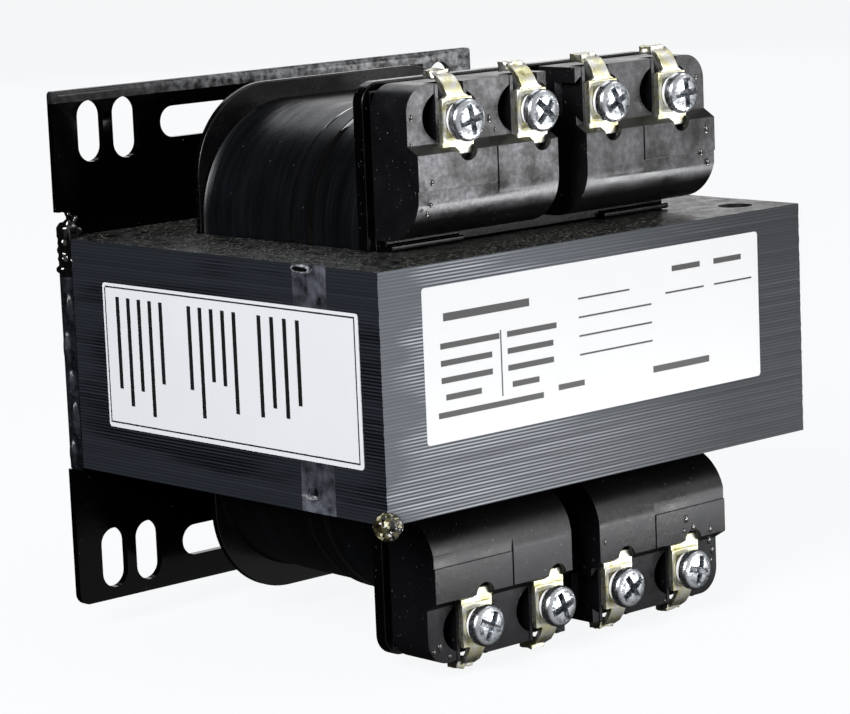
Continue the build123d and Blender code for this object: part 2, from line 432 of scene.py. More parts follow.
@dataclass(frozen=True)
class SheetEdges(Finish):
    """Sheared edges of stacked silicon steel sheets under thin baked varnish.

    Each sheet shows as a pale line with a dark gap, and thick varnish fills some of them.
    """

    bright: str
    dark: str
    filled: str
    thick_end: Pair
    smooth_top: Pair
    painted_shade_end: Pair
    # Where the colour is darkened as painted shade, how far, and the shade tone.
    dim: float
    painted_shade_tone: str
    roughness: float
    along_axis: str = "X"
    both_ends: bool = False
    cover: float = 0.88
    sheet: float = 46.6 / 72

    def dress(self, add: Adder, place: Socket) -> Inputs:
        """Lines across the height, one per sheet, each with its own slow change of tone."""
        axes = add("SeparateXYZ", {0: place}).node.outputs
        turns = add("Math", {"operation": "DIVIDE", 0: axes["Z"], 1: self.sheet})
        count = add("Math", {"operation": "FLOOR", 0: turns})
        within = add("Math", {"operation": "FRACT", 0: turns})
        centred = add("Math", {"operation": "SUBTRACT", 0: within, 1: 0.45})
        away = add("Math", {"operation": "ABSOLUTE", 0: centred})
        line = add("MapRange", {"interpolation_type": "SMOOTHSTEP", 0: away, "From Min": 0.34,
                                "From Max": 0.12})
        # Tone changes over about 40 mm along a sheet and from sheet to sheet.
        along = add("VectorMath", {"operation": "MULTIPLY", 0: place, 1: (0.018, 0.018, 0)})
        own = add("VectorMath", {"operation": "ADD", 0: along, 1: add("CombineXYZ", {2: count})})
        streak = add("TexNoise", {"Vector": own, "Scale": 1.37, "Detail": 5.0, "Roughness": 0.45})
        tone = add("MapRange", {0: streak, "From Min": 0.34, "From Max": 0.62, "To Min": 0.42})
        shine = add("Math", {"operation": "MULTIPLY", 0: line, 1: tone})
        # Varnish lies thick in bands along the sheets, at one end and near the top.
        banded = add("VectorMath", {"operation": "MULTIPLY", 0: place, 1: (0.022, 0.022, 0.15)})
        patch = add("TexNoise", {"Vector": banded, "Scale": 1.0, "Detail": 3.0})
        end = add("MapRange", {0: axes[self.along_axis], "From Min": self.thick_end[0],
                               "From Max": self.thick_end[1], "To Min": 0.3, "To Max": 0.0})
        level = add("Math", {"operation": "ABSOLUTE", 0: axes["Z"]}) if self.both_ends else axes["Z"]
        high = add("MapRange", {0: level, "From Min": self.smooth_top[0],
                                "From Max": self.smooth_top[1], "To Max": 0.18})
        thick = add("Math", {"operation": "ADD", 0: patch, 1: end})
        thicker = add("Math", {"operation": "ADD", 0: thick, 1: high})
        cover = add("MapRange", {"interpolation_type": "SMOOTHSTEP", 0: thicker, "From Min": 0.52,
                                 "From Max": 0.74, "To Max": self.cover})
        bare = add("Mix", {"data_type": "RGBA", 0: shine, 6: self.dark,
                           7: self.bright})
        coated = add("Mix", {"data_type": "RGBA", 0: cover, 6: bare, 7: self.filled})
        # Painted shade: the colour darkens towards the other end, where less light falls.
        dim = add("MapRange", {"interpolation_type": "SMOOTHSTEP", 0: axes["X"],
                               "From Min": self.painted_shade_end[0], "From Max": self.painted_shade_end[1],
                               "To Max": self.dim})
        shaded = add("Mix", {"data_type": "RGBA", 0: dim, 6: coated, 7: self.painted_shade_tone})
        bump = add("Bump", {"Strength": 0.3, "Distance": 0.05 * MM, "Height": line})
        return {"Base Color": shaded, "Normal": bump, "Roughness": self.roughness,
                "Specular IOR Level": 0.12}


@dataclass(frozen=True)
class Moulding(Finish):
    """Black moulded nylon with a dry grey bloom of varnish on the faces turned to the front, which
    is partly painted light on the lit faces.
    """

    black: str
    bloom: str
    dust: str
    patch: float
    grain: float
    roughness: float
    specular: float

    def dress(self, add: Adder, place: Socket) -> Inputs:
        """Patches of bloom broken by fine grain, and a few specks of dust."""
        # Painted light: the bloom shows only on faces turned to the front, where the light falls,
        # and fades out round the curved undersides.
        outwards = add("TexCoord", {}).node.outputs["Normal"]
        turned = add("VectorMath", {"operation": "DOT_PRODUCT", 0: outwards, 1: FRONT})
        painted_front_light = add("MapRange", {"interpolation_type": "SMOOTHSTEP", 0: turned, "From Min": 0.78,
                                  "From Max": 0.98})
        patches = add("TexNoise", {"Vector": place, "Scale": 1 / self.patch, "Detail": 6.0,
                                   "Roughness": 0.68})
        cloudy = add("MapRange", {0: patches, "From Min": 0.4, "From Max": 0.61})
        fine = add("TexNoise", {"Vector": place, "Scale": 1 / self.grain, "Detail": 3.0})
        broken = add("MapRange", {0: fine, "From Min": 0.3, "From Max": 0.7, "To Min": 0.3})
        cloud = add("Math", {"operation": "MULTIPLY", 0: cloudy, 1: broken})
        share = add("Math", {"operation": "MULTIPLY", 0: cloud, 1: painted_front_light})
        skin = add("Mix", {"data_type": "RGBA", 0: share, 6: self.black,
                           7: self.bloom})
        dots = add("TexNoise", {"Vector": place, "Scale": 1.7, "Detail": 1.0})
        spot = add("MapRange", {0: dots, "From Min": 0.73, "From Max": 0.79, "To Max": 0.4})
        surface = add("Mix", {"data_type": "RGBA", 0: spot, 6: skin, 7: self.dust})
        rough = add("MapRange", {0: patches, "From Min": 0.3, "From Max": 0.7,
                                 "To Min": self.roughness * 0.7, "To Max": self.roughness * 1.35})
        bump = add("Bump", {"Strength": 0.6, "Distance": 0.04 * MM, "Height": fine})
        return {"Base Color": surface, "Roughness": rough, "Normal": bump,
                "Specular IOR Level": self.specular}


@dataclass(frozen=True)
class SetLump(Finish):
    """Baking varnish set in a glassy amber lump, cracked into small facets, a few of them with a
    painted glint.
    """

    deep: str
    amber: str
    painted_glint: str
    facet: float

    def dress(self, add: Adder, place: Socket) -> Inputs:
        """Facets of unlike tone with a bump at their borders, under a clear coat."""
        cracks = add("TexVoronoi", {"Vector": place, "Scale": 1 / self.facet}).node.outputs
        tones = add("SeparateColor", {0: cracks["Color"]}).node.outputs
        amber = add("MapRange", {0: tones[0], "From Min": 0.25, "From Max": 0.9})
        body = add("Mix", {"data_type": "RGBA", 0: amber, 6: self.deep,
                           7: self.amber})
        # Painted highlight: a few facets take the pale glint colour.
        rare = add("Math", {"operation": "GREATER_THAN", 0: tones[1], 1: 0.88})
        surface = add("Mix", {"data_type": "RGBA", 0: rare, 6: body, 7: self.painted_glint})
        bump = add("Bump", {"Strength": 0.9, "Distance": 0.3 * MM, "Height": cracks["Distance"]})
        return {"Base Color": surface, "Normal": bump, "Roughness": 0.12, "IOR": 1.54,
                "Coat Weight": 0.7, "Coat Roughness": 0.05}


@dataclass(frozen=True)
class Speckled(Finish):
    """A dark coat with a mottled tone and small pale specks of dust and set varnish."""

    deep: str
    pale: str
    speck: str
    mottle: float
    grain: float
    speck_cut: float
    roughness: float
    coat: float = 0.0
    metallic: float = 0.0
    bump: float = 0.03 * MM
    stretch: Triple = (1.0, 1.0, 1.0)
    specular: float = 0.35
    fade: Pair = (-999.0, -998.0)
    fade_axis: str = "X"

    def dress(self, add: Adder, place: Socket) -> Inputs:
        """Broad mottling, fine grain and sparse specks."""
        drawn = add("VectorMath", {"operation": "MULTIPLY", 0: place, 1: self.stretch})
        broad = add("TexNoise", {"Vector": drawn, "Scale": 1 / self.mottle, "Detail": 5.0,
                                 "Roughness": 0.65})
        fine = add("TexNoise", {"Vector": drawn, "Scale": 1 / self.grain, "Detail": 3.0})
        both = add("Math", {"operation": "MULTIPLY", 0: broad, 1: fine})
        full = add("MapRange", {0: both, "From Min": 0.16, "From Max": 0.38})
        # The pale tone can begin part of the way along X, or towards both ends of Z.
        axes = add("SeparateXYZ", {0: place}).node.outputs
        run = add("Math", {"operation": "ABSOLUTE" if self.fade_axis == "Z" else "ADD",
                           0: axes[self.fade_axis], 1: 0.0})
        begun = add("MapRange", {0: run, "From Min": self.fade[0], "From Max": self.fade[1],
                                 "To Min": 0.12})
        tone = add("Math", {"operation": "MULTIPLY", 0: full, 1: begun})
        coat = add("Mix", {"data_type": "RGBA", 0: tone, 6: self.deep,
                           7: self.pale})
        dots = add("TexNoise", {"Vector": place, "Scale": 1.6, "Detail": 1.0})
        spot = add("MapRange", {0: dots, "From Min": self.speck_cut,
                                "From Max": self.speck_cut + 0.05, "To Max": 0.85})
        surface = add("Mix", {"data_type": "RGBA", 0: spot, 6: coat, 7: self.speck})
        rough = add("MapRange", {0: broad, "From Min": 0.3, "From Max": 0.7,
                                 "To Min": self.roughness * 0.75, "To Max": self.roughness * 1.3})
        bump = add("Bump", {"Strength": 0.5, "Distance": self.bump, "Height": fine})
        return {"Base Color": surface, "Roughness": rough, "Normal": bump,
                "Metallic": self.metallic, "Specular IOR Level": self.specular,
                "Coat Weight": self.coat, "Coat Roughness": 0.12}


@dataclass(frozen=True)
class PlatedMetal(Finish):
    """Plated steel or brass with a blotchy film and fine handling marks."""

    light: str
    film: str
    shadow: str
    blotch: float
    roughness: float

    def dress(self, add: Adder, place: Socket) -> Inputs:
        """Two blotches of film over the metal and a fine roughness change."""
        broad = add("TexNoise", {"Vector": place, "Scale": 1 / self.blotch, "Detail": 4.0,
                                 "Distortion": 0.6})
        first = add("MapRange", {0: broad, "From Min": 0.42, "From Max": 0.6})
        stained = add("Mix", {"data_type": "RGBA", 0: first, 6: self.light,
                              7: self.film})
        second = add("MapRange", {0: broad, "From Min": 0.62, "From Max": 0.75, "To Max": 0.8})
        worn = add("Mix", {"data_type": "RGBA", 0: second, 6: stained, 7: self.shadow})
        fine = add("TexNoise", {"Vector": place, "Scale": 2.0, "Detail": 3.0})
        rough = add("MapRange", {0: fine, "From Min": 0.3, "From Max": 0.7,
                                 "To Min": self.roughness * 0.7, "To Max": self.roughness * 1.4})
        bump = add("Bump", {"Strength": 0.3, "Distance": 0.02 * MM, "Height": fine})
        return {"Base Color": worn, "Roughness": rough, "Normal": bump, "Metallic": 1.0}


@dataclass(frozen=True)
class Plain(Finish):
    """Smooth film, paper, ink or varnish with a faint unevenness."""

    tint: str
    shade: str
    roughness: float
    coat: float = 0.0

    def dress(self, add: Adder, place: Socket) -> Inputs:
        """A slow change between two close tones, over about 14 mm."""
        broad = add("TexNoise", {"Vector": place, "Scale": 1 / 14, "Detail": 2.0})
        tone = add("Mix", {"data_type": "RGBA", 0: broad, 6: self.tint,
                           7: self.shade})
        return {"Base Color": tone, "Roughness": self.roughness, "Coat Weight": self.coat}


# Sizes of the patterns are millimetres on the real surface. Grains and specks of a real
# coat are finer than a pixel, so they are drawn at 0.5 to 1 mm to show.
# Sheared sheet edges on the front yoke, where the varnish was wiped thin: pale lines. This front
# copy is kept lighter than the side copy partly as painted light, and is darkened towards its right
# end as painted shade.
FRONT_EDGES = SheetEdges("lamination_edges_front_lit", "#AFB3BA", "#42464C", "#575C62",
                         (-57, -46), (11, 16), (-34, 42), 0.94, "#292C31", 0.45)
# The same edges on the sides, under a full coat of dark varnish, thickest at the rear. This side
# copy is darker than the front copy partly as painted shade.
SIDE_EDGES = SheetEdges("lamination_edges_side_shaded", "#292C32", "#08090C", "#272A2F",
                        (0, -26), (11, 19), (300, 400), 0.0, "#08090C", 0.4, "Y", True, 0.66)
# Walls of the bolt holes, in deep shade.
BORE = Plain("bore_wall", "#040405", "#08080A", 0.5)
# Flat of the outer sheet: rolled steel under dark varnish with dust in it.
OUTER_SHEET = Speckled("lamination_flat", "#040507", "#32332F", "#83837C", 3.4, 0.45,
                       0.62, 0.36, bump=0.05 * MM)
# Black gloss enamel on the steel plate, with a faint orange peel and overspray dust.
PLATE_ENAMEL = Speckled("plate_enamel", "#010101", "#020203", "#54575A", 20.0, 1.3,
                        0.79, 0.16, specular=0.14)
# Rolled-over top edge of the plate, where the enamel is thin and scuffed to bright steel. Its pale
# tone, growing towards the right, is partly a painted highlight of the lit top edge.
PLATE_EDGE = Speckled("plate_worn_and_lit_edge", "#0A0A0C", "#85878A", "#C6C6C4", 3.0, 1.3,
                      0.76, 0.4, 0.2, 0.3, fade=(-40.0, -8.0))
# Electric weld, ground flush, grey-blue with smears of varnish.
WELD_STEEL = Speckled("ground_weld", "#07080B", "#6B6D77", "#8A9096", 9.0, 3.0,
                      0.76, 0.36, 0.2, 0.2, fade=(9.0, 23.0), fade_axis="Z")
# The bead along the plate, as welded: dull and dark.
BEAD_STEEL = Speckled("weld_bead_dull", "#08090C", "#25272E", "#6A6D72", 6.0, 1.2,
                      0.72, 0.4, 0.15, 0.2)
# Varnish dried pale on the ground weld, also used as a painted highlight: the bright ring round the
# wet drop at the top of a seam.
DRIED_SMEAR_AND_HIGHLIGHT = Speckled("dried_smear_and_highlight", "#26272A", "#A9ABAF", "#C9C9C6", 1.6, 0.5, 0.7, 0.3, 0.3)
# Glass-filled nylon moulding, black, with a dry grey bloom where the varnish drained; kept to the
# front faces, it is partly painted light.
NYLON = Moulding("bloomed_front_lit_nylon", "#09090B", "#8F8F95", "#9A9C9E", 8.0, 1.1, 0.34, 0.5)
# The lower housings hung clear of the varnish and keep an even satin black.
SATIN_NYLON = Moulding("satin_nylon", "#0C0C0F", "#2A2A30", "#8A8C8E", 16.0, 1.6, 0.3, 0.26)
# The upper right housing has less bloom than the left one: a darker copy that partly paints the
# shade on the right.
DULL_NYLON = Moulding("half_bloomed_front_lit_nylon", "#09090B", "#606066", "#9A9C9E", 9.0, 1.2, 0.34, 0.5)
# The same moulding on the bobbin, under wet-looking varnish and without the bloom.
BOBBIN_BLACK = Moulding("varnished_nylon", "#010102", "#08080B", "#6A6C6E", 8.0, 0.9, 0.24, 0.3)
# Varnished polyester tape: black, with the fine threads running round the coil.
TAPE = Speckled("varnished_tape", "#010203", "#06080D", "#777B82", 9.0, 1.1, 0.78, 0.36,
                bump=0.12 * MM, stretch=(0.15, 1.8, 0.15), specular=0.5)
# Bright zinc plate on the screws.
ZINC = PlatedMetal("zinc_plate", "#DEE0E4", "#CDD1D6", "#A2A7AE", 2.2, 0.25)
# The cross recess, painted darker than the head as painted shade in the hollow.
RECESS_SHADE = PlatedMetal("screw_recess_shade", "#C4C8CC", "#6A6E73", "#1C1D20", 0.9, 0.3)
# Yellow chromate film on the terminals.
CHROMATE = PlatedMetal("yellow_chromate", "#DDDCD6", "#D9D5AC", "#8E8755", 2.2, 0.38)
# White vinyl label film and its dark ink.
LABEL_FILM = Plain("label_film", "#E4E5E7", "#E0E1E3", 0.4)
LABEL_INK = Plain("label_ink", "#0C0C0D", "#121214", 0.5)
# Wet-looking baking varnish, black over the dark parts: beads, runs and tape ends.
WET_VARNISH = Plain("wet_varnish", "#040404", "#090807", 0.07, 1.0)
# Small beads of the same varnish, thin enough to show brown.
BROWN_BEAD = Plain("brown_varnish_bead", "#0E0C08", "#211D14", 0.06, 1.0)
# Baking varnish set in a lump, amber and glassy, with painted glints on a few facets.
SET_VARNISH = SetLump("amber_varnish_lump", "#0F0E08", "#4E4930", "#B9B493", 0.9)


def paint(piece: Piece, finishes: tuple[Finish, ...],
          choose: Callable[[Vector, Vector], Finish]) -> None:
    """Gives each face of a piece one of several finishes.

    Args:
        piece: the object.
        finishes: all of them, in the order of the material slots.
        choose: gives one of them for a face centre and a face normal.
    """
    for finish in finishes:
        piece.data.materials.append(finish.material())
    for face in piece.data.polygons:
        face.material_index = finishes.index(choose(face.center, face.normal))


def deliver(piece: Piece, finish: Finish, slot: Slot, *replaced: str) -> None:
    """Finishes a piece: its material if it has none, its body and its node.

    Args:
        piece: the finished object.
        finish: its finish.
        slot: the record's material slot; not used.
        replaced: the solids that it stands for.
    """
    if not piece.data.materials:
        piece.data.materials.append(finish.material())
    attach(piece, "root")
    if replaced:
        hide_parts(*replaced)
    LOG.info("%s: %d faces", piece.name, len(piece.data.polygons))


@dataclass
class LaminatedCore:
    """Stacked E and I sheets, each a hair out of line with its neighbours."""

    nodes: dict[str, Piece]
    sheet_count: int = 72
    step: float = 0.09 * MM
    jog: float = 0.06 * MM
    outer_band: float = 0.6 * MM
    seed: int = 4

    def build(self) -> None:
        """Makes both stacks."""
        for node, name in (("core_e_stack", "core_e_sheets"), ("core_i_stack", "core_i_sheets")):
            self.stack(node, name)

    def stack(self, node: str, name: str) -> None:
        """Cuts one stack into its sheets and shifts each a little.

        Args:
            node: the solid that it starts from.
            name: name of the new piece.
        """
        piece = from_node(self.nodes, node, name)
        low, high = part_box(node)
        pitch = (high.z - low.z) / self.sheet_count
        joints = [low.z + k * pitch for k in range(1, self.sheet_count)]
        shake = random.Random(self.seed)
        with editing(piece):
            cut_across(piece, "Z", [z + half * self.step for z in joints for half in (-0.5, 0.5)])
            for z in joints[:-1]:
                top = z + pitch
                pick_vertices(piece, lambda co: z < co.z < top)
                jog = (shake.uniform(-1, 1) * self.jog, shake.uniform(-0.2, 1) * self.jog, 0)
                bpy.ops.transform.translate(value=jog)

        def choose(at: Vector, out: Vector) -> Finish:
            """The finish of one face of the stack.

            Args:
                at: the face's centre.
                out: its normal.

            Returns:
                The finish.
            """
            if abs(out.z) > 0.7:
                return OUTER_SHEET
            # Faces turned to the front take the lighter copy and the sides the darker one: partly
            # painted light and shade.
            if out.y < -0.7 and at.y < low.y + self.outer_band:
                return FRONT_EDGES
            sideways = abs(at.x) > high.x - self.outer_band or at.y > high.y - self.outer_band
            return SIDE_EDGES if sideways else BORE

        paint(piece, (FRONT_EDGES, SIDE_EDGES, OUTER_SHEET, BORE), choose)
        deliver(piece, FRONT_EDGES, Slot.STEEL, node)


@dataclass
class Welds:
    """Ground seams on both sides of the stack and the lumpy bead on the plate's edges."""

    nodes: dict[str, Piece]
    cuts: tuple[int, int] = (30, 8)
    dent: float = 0.25 * MM
    dent_reach: float = 3.5 * MM
    margin: float = 2.0 * MM
    # Depth and height of the hollow's centre, how deep it is and how wide, in mm.
    hollow: tuple[float, float, float, float] = (-75.3, -16.8, 0.7, 3.2)
    # Depth, height and half size in mm of the varnish on a seam, and its finish. The first, pale
    # drop rings the wet drop as a painted highlight.
    drops: tuple[tuple[Pair, Triple, Finish], ...] = (
        ((-75.8, 22.4), (0.3, 3.2, 0.85), DRIED_SMEAR_AND_HIGHLIGHT),
        ((-75.6, 22.4), (0.5, 2.5, 0.55), WET_VARNISH),
        ((-75.4, -20.5), (0.1, 2.6, 0.5), DRIED_SMEAR_AND_HIGHLIGHT))
    voxel: float = 0.28 * MM
    wet_above: float = 15.5
    reach: dict[str, float] = field(default_factory=lambda: {"left": 58.9, "right": 58.1})
    lump_depth: float = -2.4
    stagger: float = 0.7
    # Distance from the middle, height and radius of each lump of a bead, in mm.
    lumps: tuple[Triple, ...] = (
        (55.6, 27.9, 0.6), (54.4, 27.0, 0.7), (56.8, 26.4, 0.75), (55.4, 25.4, 0.9),
        (57.2, 24.8, 0.8), (54.2, 24.6, 0.8), (56.2, 23.4, 1.1), (57.9, 22.4, 0.9),
        (55.4, 21.8, 1.0), (57.2, 20.8, 1.2), (58.0, 19.2, 0.9), (56.8, 18.4, 1.2),
        (57.9, 17.0, 1.0), (57.2, 15.4, 1.1), (57.9, 9.0, 0.6), (57.8, 1.0, 0.6),
        (57.8, -6.0, 0.6), (57.9, -13.5, 0.65), (57.8, -20.5, 0.6))
    seed: int = 11

    def build(self) -> None:
        """Makes the four welds."""
        for side, outwards in (("left", -1), ("right", 1)):
            self.seam(side, outwards)
            self.bead(side, outwards)

    def seam(self, side: str, outwards: int) -> None:
        """One seam, dished by the grinder, with a hollow below its middle, dried varnish and a
        painted highlight ring round a wet drop.

        Args:
            side: left or right.
            outwards: the side's sign along X.
        """
        node = f"seam_weld_{side}"
        low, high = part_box(node)
        piece = box_piece(f"{node}_ground", low, high)
        shake = random.Random(self.seed)
        face_x = low.x if side == "left" else high.x
        tall, deep = self.cuts
        with editing(piece):
            heights = [low.z + k * (high.z - low.z) / tall for k in range(1, tall)]
            cut_across(piece, "Z", heights)
            cut_across(piece, "Y", [low.y + k * (high.y - low.y) / deep for k in range(1, deep)])
            for z in heights[1::3]:
                y = shake.uniform(low.y + self.margin, high.y - self.margin)
                inwards = -outwards * shake.uniform(0.2, 1.0) * self.dent
                press(piece, Vector((face_x, y, z)), (inwards, 0, 0), self.dent_reach)
            y, z, depth, reach = mm(*self.hollow)
            press(piece, Vector((face_x, y, z)), (-outwards * depth, 0, 0), reach)
            bpy.ops.mesh.select_all(action="DESELECT")
        smooth(piece, 40)
        parts = [piece]
        for at, half, finish in self.drops:
            parts.append(droplet(Vector((face_x, *mm(*at))), half))
            parts[-1].data.materials.append(finish.material())
        piece.data.materials.append(WELD_STEEL.material())
        deliver(join(parts, piece.name), WELD_STEEL, Slot.WELD, node)

    def bead(self, side: str, outwards: int) -> None:
        """One bead along the plate, with lumps where the weld began.

        Args:
            side: left or right.
            outwards: the side's sign along X.
        """
        node = f"plate_weld_{side}"
        shake = random.Random(self.seed + 1)
        parts = [from_node(self.nodes, node, f"{node}_bead")]
        for k, (out, z, size) in enumerate(self.lumps):
            place = mm(outwards * min(out, self.reach[side] - size),
                       self.lump_depth - self.stagger * (k % 3), z)
            # The lumps where the weld began are round, and the others run along it.
            tall = shake.uniform(0.8, 1.2) if z > self.wet_above else shake.uniform(4.5, 6.0)
            parts.append(blob(place, (0.9, 1.3, tall), size * MM))
        piece = join(parts, f"{node}_bead")
        apply_modifier(piece, "REMESH", mode="VOXEL", voxel_size=self.voxel)
        apply_modifier(piece, "SMOOTH", factor=0.6, iterations=2)
        smooth(piece, 60)
        paint(piece, (BEAD_STEEL, WET_VARNISH),
              lambda at, out: WET_VARNISH if at.z > self.wet_above * MM else BEAD_STEEL)
        deliver(piece, BEAD_STEEL, Slot.WELD, node)


@dataclass
class MountingPlate:
    """Slotted sheet with softened edges and a rolled-over, scuffed top edge whose pale band is
    partly a painted highlight.
    """

    nodes: dict[str, Piece]
    edge: float = 0.28 * MM
    near: float = 0.01 * MM
    front_half: float = -1.5 * MM
    rollover: float = 1.1 * MM
    # Depth of the pale top band, part wear and part painted highlight, and its depth at the right
    # end.
    worn: float = 2.4 * MM
    worn_and_lit_end: float = 7.0 * MM
    end_x: float = 43.0 * MM

    def build(self) -> None:
        """Makes the plate."""
        piece = from_node(self.nodes, "mounting_plate", "mounting_plate_enamelled")
        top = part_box("mounting_plate")[1].z
        with editing(piece, "EDGE"):
            pick_edges(piece, lambda *ends: all(
                co.z > top - self.near and co.y < self.front_half for co in ends))
            bpy.ops.mesh.bevel(offset=self.rollover, segments=5, affect="EDGES")
        soften(piece, self.edge)
        with editing(piece):
            cut_across(piece, "Z", (top - self.worn, top - self.worn_and_lit_end))
            cut_across(piece, "X", [self.end_x])

        def choose(at: Vector, out: Vector) -> Finish:
            """Scuffed steel with a painted highlight along the top edge, and further down at its
            right end.
            """
            # The pale band is partly a painted highlight; it runs deeper at the right end.
            deep = self.worn_and_lit_end if at.x > self.end_x else self.worn
            return PLATE_EDGE if at.z > top - deep and out.y < 0.3 else PLATE_ENAMEL

        paint(piece, (PLATE_ENAMEL, PLATE_EDGE), choose)
        deliver(piece, PLATE_ENAMEL, Slot.PAINT, "mounting_plate")


@dataclass
class Bobbin:
    """Moulded bobbin with rounded flange rims."""

    nodes: dict[str, Piece]
    edge: float = 0.3 * MM

    def build(self) -> None:
        """Makes the bobbin."""
        piece = from_node(self.nodes, "bobbin", "bobbin_moulded")
        soften(piece, self.edge)
        deliver(piece, BOBBIN_BLACK, Slot.NYLON, "bobbin")


@dataclass
class Coil:
    """Taped winding: threads round it, and two tape ends with a wet line of varnish."""

    nodes: dict[str, Piece]
    bore_x: float = 21.2 * MM
    bore_z: float = 25.6 * MM
    back: float = -22.35 * MM
    front: float = -72.0 * MM
    thread: float = 0.9 * MM
    ridge: float = 0.05 * MM
    bulge: float = 0.5 * MM
    tape_edges: tuple[float, ...] = (-49.6 * MM, -55.9 * MM)
    tape_t: float = 0.22 * MM
    bead: float = 0.34 * MM
    seed: int = 7

    def build(self) -> None:
        """Makes the winding and its end wrap."""
        self.ring("coil_winding", "coil_taped")
        self.ring("coil_end_wrap", "coil_end_taped")

    def ring(self, node: str, name: str) -> None:
        """Cuts one length of winding into threads and swells each as the tape does.

        Args:
            node: the solid that it starts from.
            name: name of the new piece.
        """
        piece = from_node(self.nodes, node, name)
        low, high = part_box(node)
        count = max(3, round((high.y - low.y) / self.thread))
        pitch = (high.y - low.y) / count
        shake = random.Random(self.seed)
        with editing(piece):
            rows = [low.y + k * pitch for k in range(1, count)]
            cut_across(piece, "Y", rows)
            for y in rows:
                grow = self.swell(y) + shake.uniform(-1, 1) * self.ridge
                pick_vertices(piece, lambda co: abs(co.y - y) < pitch / 4
                              and (abs(co.x) > self.bore_x or abs(co.z) > self.bore_z))
                bpy.ops.transform.resize(
                    value=(1 + grow / high.x, 1, 1 + grow / high.z), center_override=(0, 0, 0))
        smooth(piece, 50)
        paint(piece, (TAPE, WET_VARNISH), lambda at, out: WET_VARNISH if any(
            abs(at.y - edge) < 0.8 * self.thread for edge in self.tape_edges) else TAPE)
        deliver(piece, TAPE, Slot.TAPE, node)

    def swell(self, y: float) -> float:
        """How far the tape stands out.

        Args:
            y: the depth.

        Returns:
            The distance from the solid's surface.
        """
        share = (self.back - y) / (self.back - self.front)
        height = self.bulge * (4 * share * (1 - share) - 1)
        for edge in self.tape_edges:
            if y < edge:
                height += self.tape_t
            if abs(y - edge) < 0.7 * self.thread:
                height += self.bead
        return height


@dataclass
class TerminalBlocks:
    """The four moulded housings with softened edges."""

    nodes: dict[str, Piece]
    edge: float = 0.3 * MM
    finishes: dict[str, Finish] = field(default_factory=lambda: {
        "terminal_block_upper_left": NYLON, "terminal_block_upper_right": DULL_NYLON,
        "terminal_block_lower_left": SATIN_NYLON, "terminal_block_lower_right": SATIN_NYLON})

    def build(self) -> None:
        """Makes the four blocks."""
        for row in ("upper", "lower"):
            for side in ("left", "right"):
                node = f"terminal_block_{row}_{side}"
                piece = from_node(self.nodes, node, f"{node}_moulded")
                soften(piece, self.edge)
                deliver(piece, self.finishes[node], Slot.NYLON, node)


